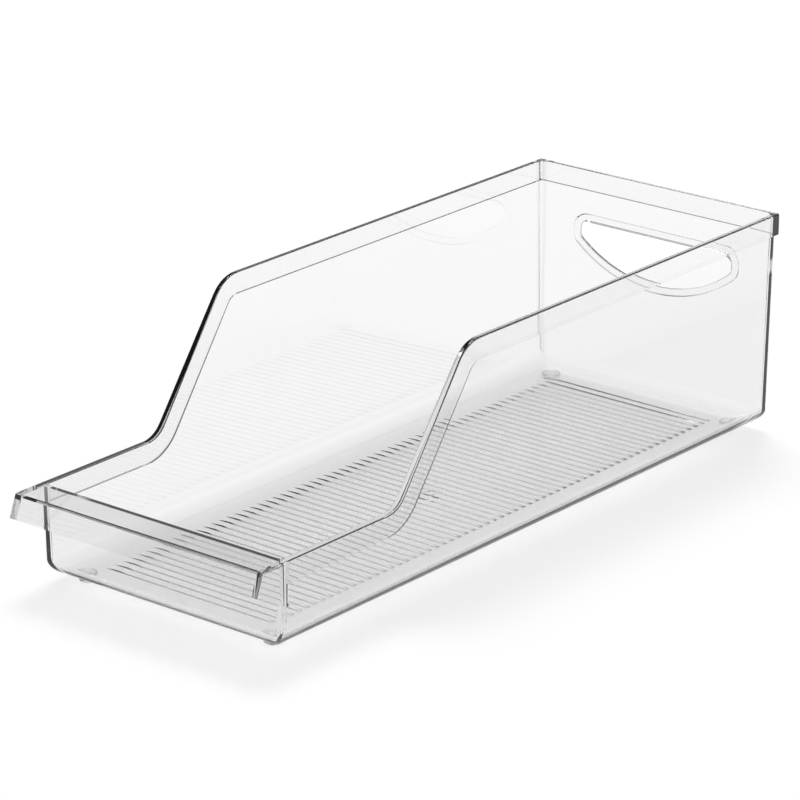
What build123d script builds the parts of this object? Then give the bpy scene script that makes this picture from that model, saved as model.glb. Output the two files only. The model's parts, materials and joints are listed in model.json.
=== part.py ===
from build123d import *
import math
import os

# A clear moulded pull-out bin for a refrigerator shelf, on four round bumper feet.
# Millimetres. The origin is on the surface that the feet stand on, at the middle of the
# overall length and width. X runs across the bin, Y from the front lip to the back wall.

# Overall envelope
overall_length = 370.0  # lower edge of the front lip to the back face of the rim band
overall_width = 140.0  # over the rim bands of the two side walls
foot_height = 3.0

# Tub, with heights above its underside
rear_height = 104.0
front_height = 41.0
wall = 1.7
floor_thickness = 2.2
draft = 1.0  # degrees that each wall leans outwards towards the rim
side_bottom_radius = 9.5  # outside, along the foot of each side wall
end_bottom_radius = 6.0  # outside, along the foot of the front and back walls
outer_upright_radius = 0.5  # the four upright corners
inner_upright_radius = 1.2

# Rim outline of the side walls, measured from the outer face of the front wall
low_rim_run = 72.3
high_rim_start = 118.3
low_bend_radius = 13.5
high_bend_radius = 17.5

# Rim band, a thicker border along the top of the walls
band_height = 10.3
band_proud = 1.0
band_upright_radius = 1.2
band_bevel = 0.3  # along the lower edge of the band
rim_inner_radius = 0.5  # along the inner edge of the rim
rim_outer_radius = 0.8  # along its outer edge, and round the top of the lip

# Front pull lip, a hollow shelf with a flared skirt, closed by an end wall on each side
lip_reach = 14.3  # outer face of the front wall to the top edge of the skirt
lip_flare = 4.0  # how much further forward the skirt's lower edge stands
lip_wall = 2.0
lip_end_wall = 3.5
lip_end_drop = 20.3  # low rim to the foot of an end wall, where it meets the front wall
lip_corner_radius = 1.0
root_clearance = 0.1  # from the back of the lip to the inner face of the front wall

# Hand hole in the back wall, with heights above the underside along the wall
hole_half_width = 44.0
hole_top = 78.3
hole_depth = 24.0
hole_bottom_radius = 68.0
hole_top_corner_radius = 4.0
hole_low_corner_radius = 3.0
bead_width = 3.8  # raised bead round the hole, on the outside
bead_proud = 1.0
bead_edge_bevel = 0.5

# Ribs across the floor
rib_pitch = 5.1
rib_end_margin = 18.0  # least room from the foot of the front or back wall to a rib's middle
rib_side_margin = 19.7  # foot of a side wall to the end of a rib
rib_width = 2.4
rib_height = 0.6
rib_side_lean = 0.2  # how much narrower each side makes the top of a rib
rib_end_run = 7.5  # curved end of a rib

# Moulding gate under the floor
gate_offset_x = 5.0
gate_well_radius = 4.5
gate_well_depth = 0.5
gate_nub_radius = 1.2

# Bumper feet
foot_radius = 4.7
foot_tip_radius = 4.3
foot_edge_bevel = 0.5
foot_edge_clearance = 0.2  # between a foot and the start of the rounded foot edges

# Places that follow from the sizes above
underside = foot_height
floor_top = underside + floor_thickness
high_rim = underside + rear_height
low_rim = underside + front_height
half_width = overall_width / 2
back = overall_length / 2
lip_tip = -overall_length / 2
lip_top_edge = lip_tip + lip_flare
front = lip_top_edge + lip_reach  # outer face of the front wall, at the low rim
root = front + wall - root_clearance
lip_low = low_rim - band_height  # the skirt reaches as low as the rim band
lean = math.tan(math.radians(draft))
foot_half_width = half_width - band_proud - lean * rear_height  # outer face, at the underside
foot_front = front + lean * front_height
foot_back = back - band_proud - lean * rear_height
floor_middle = (foot_front + foot_back) / 2
rib_run = foot_back - foot_front - 2 * rib_end_margin
rib_count = math.floor(rib_run / rib_pitch) + 1
rib_length = 2 * (foot_half_width - rib_side_margin)
slope_angle = math.atan2(high_rim - low_rim, high_rim_start - low_rim_run)
over = 20.0  # how far a cutting body runs past what it cuts


def tub_form(inset, base, corner_radius):
    """Leaning-sided block with a rounded foot, drawn in from the tub's outer faces by inset."""
    top = high_rim + over
    low_shift = lean * (base - underside) - inset
    top_shift = lean * (top - underside) - inset
    low_x, top_x = foot_half_width + low_shift, foot_half_width + top_shift
    low_front, top_front = foot_front - low_shift, foot_front - top_shift
    low_back, top_back = foot_back + low_shift, foot_back + top_shift

    across = Polyline((-low_x, base), (low_x, base), (top_x, top), (-top_x, top), close=True)
    across = make_face(Plane.XZ * across)
    across = fillet(across.vertices().group_by(Axis.Z)[0], side_bottom_radius - inset)
    along = Polyline(
        (low_front, base), (low_back, base), (top_back, top), (top_front, top), close=True
    )
    along = make_face(Plane.YZ * along)
    along = fillet(along.vertices().group_by(Axis.Z)[0], end_bottom_radius - inset)

    margin = lean * over
    plan = RectangleRounded(
        2 * (low_x - margin), low_back - low_front - 2 * margin, corner_radius
    )
    plan = Pos(0, floor_middle, base - over) * plan
    corners = extrude(plan, top - base + 2 * over, taper=-draft)
    length_block = extrude(across, overall_length, both=True)
    return length_block & extrude(along, overall_width, both=True) & corners


def below_rim(drop):
    """Everything lower than the rim outline moved inwards by drop."""
    shift = drop * math.tan(slope_angle / 2)
    low, high = low_rim - drop, high_rim - drop
    low_bend = front + low_rim_run + shift
    high_bend = front + high_rim_start + shift
    outline = Polyline(
        (lip_tip - over, low),
        (low_bend, low),
        (high_bend, high),
        (back + over, high),
        (back + over, -over),
        (lip_tip - over, -over),
        close=True,
    )
    side = make_face(Plane.YZ * outline)
    bends = ((low_bend, low_bend_radius + drop), (high_bend, high_bend_radius - drop))
    for place, radius in bends:
        corner = [vertex for vertex in side.vertices() if abs(vertex.Y - place) < 0.001]
        side = fillet(corner, radius)
    return extrude(side, overall_width, both=True)


def rim_band():
    """Thick border round the top of the tub, still solid inside, with a bevelled lower edge."""
    outline = Polyline(
        (-half_width, root), (half_width, root), (half_width, back), (-half_width, back),
        close=True,
    )
    plan = make_face(outline)
    plan = fillet(plan.vertices().group_by(Axis.Y)[-1], band_upright_radius)
    block = extrude(Pos(0, 0, lip_low) * plan, high_rim - lip_low + over)
    block = block - below_rim(band_height)
    undersides = [face for face in block.faces() if face.normal_at().Z < -0.2]
    edges = [
        edge
        for edge in block.edges()
        if sum(edge in face.edges() for face in undersides) == 1 and edge.center().Y > root + wall
    ]
    return chamfer(edges, band_bevel)


def pull_lip():
    """Top plate, flared skirt and two end walls that reach down the front wall, open below."""
    outline = Polyline(
        (root, low_rim), (lip_top_edge, low_rim), (lip_tip, lip_low), (root, low_rim - lip_end_drop),
        close=True,
    )
    block = extrude(make_face(Plane.YZ * outline), half_width, both=True)
    skirt_ends = block.edges().filter_by_position(Axis.Y, lip_tip, lip_top_edge)
    skirt_ends = [edge for edge in skirt_ends if abs(edge.tangent_at(0.5).Z) > 0.2]
    block = fillet(skirt_ends, lip_corner_radius)

    flare = lip_flare / band_height
    skirt_run = lip_wall * math.hypot(1, flare)  # the skirt's thickness, measured along Y
    hollow = Polyline(
        (root, low_rim - lip_wall),
        (lip_top_edge + skirt_run - flare * lip_wall, low_rim - lip_wall),
        (lip_tip + skirt_run - flare * over, lip_low - over),
        (root, lip_low - over),
        close=True,
    )
    return block - extrude(make_face(Plane.YZ * hollow), half_width - lip_end_wall, both=True)


def hand_outline(grow):
    """Flat top and curved bottom of the hand hole, made larger by grow all round."""
    half = hole_half_width + grow
    top = hole_top + grow
    radius = hole_bottom_radius + grow
    centre = hole_top - hole_depth + hole_bottom_radius
    corner = centre - math.sqrt(radius**2 - half**2)
    outline = [
        Polyline((-half, corner), (-half, top), (half, top), (half, corner)),
        ThreePointArc((half, corner), (0, centre - radius), (-half, corner)),
    ]
    face = make_face(outline)
    face = fillet(face.vertices().group_by(Axis.Y)[-1], hole_top_corner_radius + grow)
    low = [vertex for vertex in face.vertices() if abs(vertex.Y - corner) < 0.001]
    return fillet(low, hole_low_corner_radius + grow)


def hand_bead():
    """Raised ring round the hand hole, rooted in the wall, with bevelled outer edges."""
    ring = hand_outline(bead_width) - hand_outline(0)
    ring = extrude(Pos(0, 0, -wall / 2) * ring, wall / 2 + bead_proud)
    return chamfer(ring.edges().group_by(Axis.Z)[-1], bead_edge_bevel)


def floor_ribs():
    """Low flat-topped ribs across the floor, each fading out in a curve at both ends."""
    foot, crown = rib_width / 2, rib_width / 2 - rib_side_lean
    section = Polyline((-foot, 0), (foot, 0), (crown, rib_height), (-crown, rib_height), close=True)
    bar = extrude(make_face(Plane.YZ * section), rib_length / 2, both=True)

    end = rib_length / 2
    level = end - rib_end_run
    halfway = end - rib_end_run / 2
    curve_radius = (rib_height**2 + rib_end_run**2) / (2 * rib_height)
    curve_centre = rib_height - curve_radius
    halfway_height = curve_centre + math.sqrt(curve_radius**2 - (halfway - level) ** 2)
    profile = [
        Line((-end, 0), (end, 0)),
        ThreePointArc((end, 0), (halfway, halfway_height), (level, rib_height)),
        Line((level, rib_height), (-level, rib_height)),
        ThreePointArc((-level, rib_height), (-halfway, halfway_height), (-end, 0)),
    ]
    bar = bar & extrude(Plane.XZ * make_face(profile), rib_width, both=True)
    first = floor_middle - rib_pitch * (rib_count - 1) / 2
    return [Pos(0, first + rib_pitch * index, floor_top) * bar for index in range(rib_count)]


def gate_well():
    """Round sink in the underside with the cut-off gate standing in its middle."""
    well = Circle(gate_well_radius) - Circle(gate_nub_radius)
    return extrude(Pos(gate_offset_x, floor_middle, underside) * well, gate_well_depth)


def rim_edges(body):
    """Edges along the top of the walls and the lip, as those of the cavity and the others."""
    tops = [
        face
        for face in body.faces()
        if face.normal_at().Z > 0.2 and face.center().Z > low_rim - rim_outer_radius
    ]
    edges = [edge for edge in body.edges() if sum(edge in face.edges() for face in tops) == 1]
    inner = [
        edge
        for edge in edges
        if abs(edge.center().X) < half_width - wall and front < edge.center().Y < back - wall
    ]
    return inner, [edge for edge in edges if edge not in inner]


def bin_body():
    """The one-piece moulding."""
    cavity = tub_form(wall, floor_top, inner_upright_radius)
    shell = tub_form(0, underside, outer_upright_radius) - cavity
    band = rim_band() - cavity
    body = (shell + band) & below_rim(0)
    body = body + (pull_lip() - cavity)

    body = fillet(rim_edges(body)[0], rim_inner_radius)
    body = fillet(rim_edges(body)[1], rim_outer_radius)

    tilt = math.radians(draft)
    back_face = Plane(
        origin=(0, foot_back, underside), x_dir=(-1, 0, 0), z_dir=(0, math.cos(tilt), -math.sin(tilt))
    )
    body = body - back_face * extrude(hand_outline(0), 2 * wall, both=True)
    body = body + back_face * hand_bead()
    return body + floor_ribs() - gate_well()


def bumper_foot():
    """Round foot that tapers to a bevelled tip, with its flat top at the underside."""
    foot = Cone(
        foot_tip_radius, foot_radius, foot_height, align=(Align.CENTER, Align.CENTER, Align.MIN)
    )
    return chamfer(foot.edges().group_by(Axis.Z)[0], foot_edge_bevel)


os.makedirs("parts", exist_ok=True)
export_step(bin_body(), "parts/bin_body.step")

foot_x = foot_half_width - side_bottom_radius - foot_radius - foot_edge_clearance
foot_inset_y = end_bottom_radius + foot_radius + foot_edge_clearance
for end_name, foot_y in (("front", foot_front + foot_inset_y), ("back", foot_back - foot_inset_y)):
    for side_name, side in (("left", -1), ("right", 1)):
        place = Pos(side * foot_x, foot_y, 0)
        export_step(place * bumper_foot(), f"parts/foot_{end_name}_{side_name}.step")
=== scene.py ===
import bmesh
import bpy
import json
import math
from mathutils import Matrix, Vector

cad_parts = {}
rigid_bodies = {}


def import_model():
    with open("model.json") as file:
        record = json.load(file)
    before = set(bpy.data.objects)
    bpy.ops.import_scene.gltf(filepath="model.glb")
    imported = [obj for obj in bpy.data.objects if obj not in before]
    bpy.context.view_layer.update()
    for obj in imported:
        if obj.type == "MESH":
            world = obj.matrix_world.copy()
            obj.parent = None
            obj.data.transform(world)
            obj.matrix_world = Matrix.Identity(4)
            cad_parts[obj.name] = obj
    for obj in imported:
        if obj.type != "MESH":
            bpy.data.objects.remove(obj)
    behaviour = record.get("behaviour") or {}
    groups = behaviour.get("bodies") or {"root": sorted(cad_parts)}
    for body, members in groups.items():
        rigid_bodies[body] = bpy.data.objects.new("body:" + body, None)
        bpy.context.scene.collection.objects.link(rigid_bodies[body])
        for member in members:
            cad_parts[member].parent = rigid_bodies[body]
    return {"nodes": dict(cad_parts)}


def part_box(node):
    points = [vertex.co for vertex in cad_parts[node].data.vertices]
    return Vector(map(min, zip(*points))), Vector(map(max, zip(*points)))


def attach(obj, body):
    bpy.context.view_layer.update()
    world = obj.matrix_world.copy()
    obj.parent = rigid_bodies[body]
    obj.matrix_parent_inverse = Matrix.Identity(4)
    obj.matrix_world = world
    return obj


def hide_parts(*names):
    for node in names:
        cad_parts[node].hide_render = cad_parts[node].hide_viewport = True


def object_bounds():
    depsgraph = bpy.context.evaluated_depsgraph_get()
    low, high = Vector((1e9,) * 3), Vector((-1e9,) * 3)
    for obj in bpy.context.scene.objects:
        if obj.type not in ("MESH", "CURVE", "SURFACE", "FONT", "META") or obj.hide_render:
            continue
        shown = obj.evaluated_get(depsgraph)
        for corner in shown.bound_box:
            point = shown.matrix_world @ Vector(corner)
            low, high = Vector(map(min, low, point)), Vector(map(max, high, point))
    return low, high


for leftover in list(bpy.data.objects):  # an empty file to start from
    bpy.data.objects.remove(leftover, do_unlink=True)

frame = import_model()
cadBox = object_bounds()
print("frame: %d pieces of a clear bin" % len(frame["nodes"]))

photoView = {
    "turn": 39.389,  # degrees round from the front, towards the right side
    "rise": 20.167,  # degrees above the horizon
    "distance": 1.853,
    "slideRight": -0.005,
    "slideUp": -0.00245,
    "lens": 186.9,
    "sensor": 36.0,
    "farthest": 100.0,
}


def placeCamera(view):
    turn = math.radians(view["turn"])
    rise = math.radians(view["rise"])
    flat = math.cos(rise)
    towards = Vector((math.sin(turn) * flat, -math.cos(turn) * flat, math.sin(rise)))
    right = Vector((math.cos(turn), math.sin(turn), 0))
    up = towards.cross(right)
    middle = (cadBox[0] + cadBox[1]) / 2
    place = middle + right * view["slideRight"] + up * view["slideUp"] + towards * view["distance"]

    data = bpy.data.cameras.new("camera")
    data.lens = view["lens"]
    data.sensor_width = view["sensor"]
    data.clip_end = view["farthest"]
    camera = bpy.data.objects.new("camera", data)
    bpy.context.scene.collection.objects.link(camera)
    pose = Matrix((right, up, towards)).transposed().to_4x4()
    pose.translation = place
    camera.matrix_world = pose
    bpy.context.scene.camera = camera


placeCamera(photoView)
print("camera: level with the photograph")

studio = {
    "floorSize": 30.0,
    "floorColour": (0.42, 0.42, 0.42, 1),
    "floorGlow": 0.745,
    "lowLight": 1.0,  # world strength near the horizon
    "highLight": 0.18,  # and overhead, where the room is dark
    "lowEdge": 0.30,  # sine of the height where it starts to darken
    "highEdge": 0.55,  # and where it is darkest
    "keyPlace": (-2.6, 3.0, 7.2),
    "keyPower": 300.0,
    "keySize": 3.2,
    "bounces": 32,  # enough for light that is caught inside the walls
    "throughBounces": 24,
    "mirrorBounces": 12,
    "emptyBounces": 16,
}


def mathNode(nodes, operation):
    node = nodes.new("ShaderNodeMath")
    node.operation = operation
    return node


def makeFloor(settings):
    bpy.ops.mesh.primitive_plane_add(size=settings["floorSize"])
    floor = bpy.context.object
    floor.name = "studioFloor"
    material = bpy.data.materials.new("paleFloor")
    material.use_nodes = True
    nodes, links = material.node_tree.nodes, material.node_tree.links
    nodes.clear()
    out = nodes.new("ShaderNodeOutputMaterial")
    matt = nodes.new("ShaderNodeBsdfDiffuse")
    matt.inputs["Color"].default_value = settings["floorColour"]
    glow = nodes.new("ShaderNodeEmission")
    seen = nodes.new("ShaderNodeLightPath")  # the glow is only looked at, and lights nothing
    direct = mathNode(nodes, "MAXIMUM")
    level = mathNode(nodes, "MAXIMUM")
    shown = mathNode(nodes, "MULTIPLY")
    shown.inputs[1].default_value = settings["floorGlow"]
    links.new(seen.outputs["Is Camera Ray"], direct.inputs[0])
    links.new(seen.outputs["Is Glossy Ray"], direct.inputs[1])
    links.new(direct.outputs[0], level.inputs[0])
    links.new(seen.outputs["Is Transmission Ray"], level.inputs[1])
    links.new(level.outputs[0], shown.inputs[0])
    links.new(shown.outputs[0], glow.inputs["Strength"])
    both = nodes.new("ShaderNodeAddShader")
    links.new(matt.outputs[0], both.inputs[0])
    links.new(glow.outputs[0], both.inputs[1])
    links.new(both.outputs[0], out.inputs["Surface"])
    floor.data.materials.append(material)


def makeRoom(settings):
    world = bpy.data.worlds.new("softStudio")
    bpy.context.scene.world = world
    world.use_nodes = True
    nodes, links = world.node_tree.nodes, world.node_tree.links
    nodes.clear()
    out = nodes.new("ShaderNodeOutputWorld")
    room = nodes.new("ShaderNodeBackground")
    place = nodes.new("ShaderNodeTexCoord")
    split = nodes.new("ShaderNodeSeparateXYZ")
    rise = nodes.new("ShaderNodeMapRange")
    rise.inputs["From Min"].default_value = settings["lowEdge"]
    rise.inputs["From Max"].default_value = settings["highEdge"]
    rise.inputs["To Min"].default_value = settings["lowLight"]
    rise.inputs["To Max"].default_value = settings["highLight"]
    seen = nodes.new("ShaderNodeLightPath")
    strength = mathNode(nodes, "MAXIMUM")
    links.new(place.outputs["Generated"], split.inputs[0])
    links.new(split.outputs["Z"], rise.inputs["Value"])
    links.new(rise.outputs[0], strength.inputs[0])
    links.new(seen.outputs["Is Camera Ray"], strength.inputs[1])
    links.new(strength.outputs[0], room.inputs["Strength"])
    links.new(room.outputs[0], out.inputs["Surface"])


def makeKey(settings):
    data = bpy.data.lights.new("softBox", "AREA")
    data.energy = settings["keyPower"]
    data.size = settings["keySize"]
    key = bpy.data.objects.new("softBox", data)
    bpy.context.scene.collection.objects.link(key)
    key.location = settings["keyPlace"]
    key.rotation_euler = (-key.location).to_track_quat("-Z", "Y").to_euler()


makeFloor(studio)
makeRoom(studio)
makeKey(studio)
scene = bpy.context.scene
scene.view_settings.view_transform = "Standard"
scene.cycles.max_bounces = studio["bounces"]
scene.cycles.transmission_bounces = studio["throughBounces"]
scene.cycles.glossy_bounces = studio["mirrorBounces"]
scene.cycles.transparent_max_bounces = studio["emptyBounces"]
print("studio: floor, room and soft box")

# what moulding and handling leave on clear plastic: a slow wave and a patchy film
handlingMarks = {
    "filmDetail": 3.0,
    "filmRoughness": 0.55,
    "patchFrom": 0.45,  # noise level where the film starts
    "patchFull": 0.75,
    "waveScale": 9.0,
    "waveDetail": 1.0,
}


def buildMarks(settings):
    group = bpy.data.node_groups.new("handlingMarks", "ShaderNodeTree")
    for name in ("Scale", "Smooth", "Rough"):
        group.interface.new_socket(name, in_out="INPUT", socket_type="NodeSocketFloat")
    for name in ("Roughness", "Height"):
        group.interface.new_socket(name, in_out="OUTPUT", socket_type="NodeSocketFloat")
    nodes, links = group.nodes, group.links
    given = nodes.new("NodeGroupInput")
    out = nodes.new("NodeGroupOutput")
    place = nodes.new("ShaderNodeTexCoord")

    film = nodes.new("ShaderNodeTexNoise")
    film.inputs["Detail"].default_value = settings["filmDetail"]
    film.inputs["Roughness"].default_value = settings["filmRoughness"]
    patch = nodes.new("ShaderNodeMapRange")
    patch.inputs["From Min"].default_value = settings["patchFrom"]
    patch.inputs["From Max"].default_value = settings["patchFull"]
    links.new(place.outputs["Object"], film.inputs["Vector"])
    links.new(given.outputs["Scale"], film.inputs["Scale"])
    links.new(film.outputs["Fac"], patch.inputs["Value"])
    links.new(given.outputs["Smooth"], patch.inputs["To Min"])
    links.new(given.outputs["Rough"], patch.inputs["To Max"])
    links.new(patch.outputs[0], out.inputs["Roughness"])

    wave = nodes.new("ShaderNodeTexNoise")
    wave.inputs["Scale"].default_value = settings["waveScale"]
    wave.inputs["Detail"].default_value = settings["waveDetail"]
    links.new(place.outputs["Object"], wave.inputs["Vector"])
    links.new(wave.outputs["Fac"], out.inputs["Height"])
    return group


marks = buildMarks(handlingMarks)

clearMoulding = {
    "tint": (0.965, 0.965, 0.965, 1),
    "ior": 1.56,
    "shine": 0.4,
    "filmScale": 35.0,
    "smooth": 0.01,
    "rough": 0.04,
    "waviness": 0.02,
    "waveHeight": 0.001,
    "depthColour": (0.5, 0.5, 0.5, 1),
    "depthStrength": 34.0,
}
clearBumper = {
    "tint": (0.96, 0.96, 0.96, 1),
    "ior": 1.42,
    "shine": 0.5,
    "filmScale": 220.0,
    "smooth": 0.02,
    "rough": 0.08,
    "waviness": 0.02,
    "waveHeight": 0.001,
    "depthColour": (0.5, 0.5, 0.5, 1),
    "depthStrength": 34.0,
}


def clearPlastic(name, settings):
    material = bpy.data.materials.new(name)
    material.use_nodes = True
    nodes, links = material.node_tree.nodes, material.node_tree.links
    plastic = nodes["Principled BSDF"]
    plastic.inputs["Base Color"].default_value = settings["tint"]
    plastic.inputs["IOR"].default_value = settings["ior"]
    plastic.inputs["Specular IOR Level"].default_value = settings["shine"]
    plastic.inputs["Transmission Weight"].default_value = 1.0
    depth = nodes.new("ShaderNodeVolumeAbsorption")  # thick and end-on plastic looks darker
    depth.inputs["Color"].default_value = settings["depthColour"]
    depth.inputs["Density"].default_value = settings["depthStrength"]
    links.new(depth.outputs[0], nodes["Material Output"].inputs["Volume"])
    wear = nodes.new("ShaderNodeGroup")
    wear.node_tree = marks
    wear.inputs["Scale"].default_value = settings["filmScale"]
    wear.inputs["Smooth"].default_value = settings["smooth"]
    wear.inputs["Rough"].default_value = settings["rough"]
    bump = nodes.new("ShaderNodeBump")
    bump.inputs["Strength"].default_value = settings["waviness"]
    bump.inputs["Distance"].default_value = settings["waveHeight"]
    links.new(wear.outputs["Roughness"], plastic.inputs["Roughness"])
    links.new(wear.outputs["Height"], bump.inputs["Height"])
    links.new(bump.outputs["Normal"], plastic.inputs["Normal"])
    return material


finishes = {
    "bin_body": clearPlastic("clearMoulding", clearMoulding),
    "foot": clearPlastic("clearBumper", clearBumper),
}
for name, piece in frame["nodes"].items():
    finish = finishes["bin_body" if name == "bin_body" else "foot"]
    for slot in piece.material_slots:
        slot.material = finish
print("materials: clear moulding and clear bumpers")

bumper = {
    "sides": 64,
    "edgeRound": 0.0008,  # soft moulded edge, top and bottom
    "roundSteps": 6,
    "taper": 0.0004,  # how much narrower it is at the ground
    "flatRings": (0.3, 0.97),  # share of the flat where a ring keeps the shading level
    "airFilm": 0.00004,  # under the bin and over the shelf
}


def bumperProfile(radius, low, high, settings):
    edge = settings["edgeRound"]
    flatLow = radius - settings["taper"] - edge
    flatHigh = radius - edge
    steps = settings["roundSteps"]
    angles = [math.pi / 2 * step / steps for step in range(steps + 1)]
    below = [(flatLow + edge * math.sin(angle), low + edge * (1 - math.cos(angle))) for angle in angles]
    above = [(flatHigh + edge * math.cos(angle), high - edge * (1 - math.sin(angle))) for angle in angles]
    shares = settings["flatRings"]
    bottom = [(share * flatLow, low) for share in shares]
    top = [(share * flatHigh, high) for share in reversed(shares)]
    return bottom + below + above + top


def makeBumper(name, box, settings):
    middle = (box[0] + box[1]) / 2
    radius = (box[1].x - box[0].x) / 2
    low = box[0].z + settings["airFilm"]
    high = box[1].z - settings["airFilm"]
    sides = settings["sides"]

    mesh = bmesh.new()
    rings = []
    for across, height in bumperProfile(radius, low, high, settings):
        turns = [2 * math.pi * side / sides for side in range(sides)]
        around = [(middle.x + across * math.cos(turn), middle.y + across * math.sin(turn)) for turn in turns]
        rings.append([mesh.verts.new((x, y, height)) for x, y in around])
    for lower, upper in zip(rings, rings[1:]):
        for side in range(sides):
            after = (side + 1) % sides
            mesh.faces.new((lower[side], lower[after], upper[after], upper[side]))
    mesh.faces.new(list(reversed(rings[0])))
    mesh.faces.new(rings[-1])
    for face in mesh.faces:
        face.smooth = True
    data = bpy.data.meshes.new(name)
    mesh.to_mesh(data)
    mesh.free()
    data.materials.append(finishes["foot"])
    piece = bpy.data.objects.new(name, data)
    bpy.context.scene.collection.objects.link(piece)
    return piece


for name in frame["nodes"]:
    if name.startswith("foot_"):
        piece = makeBumper(name.replace("foot", "bumper"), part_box(name), bumper)
        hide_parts(name)
        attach(piece, "root")
print("bumpers: four under the floor")
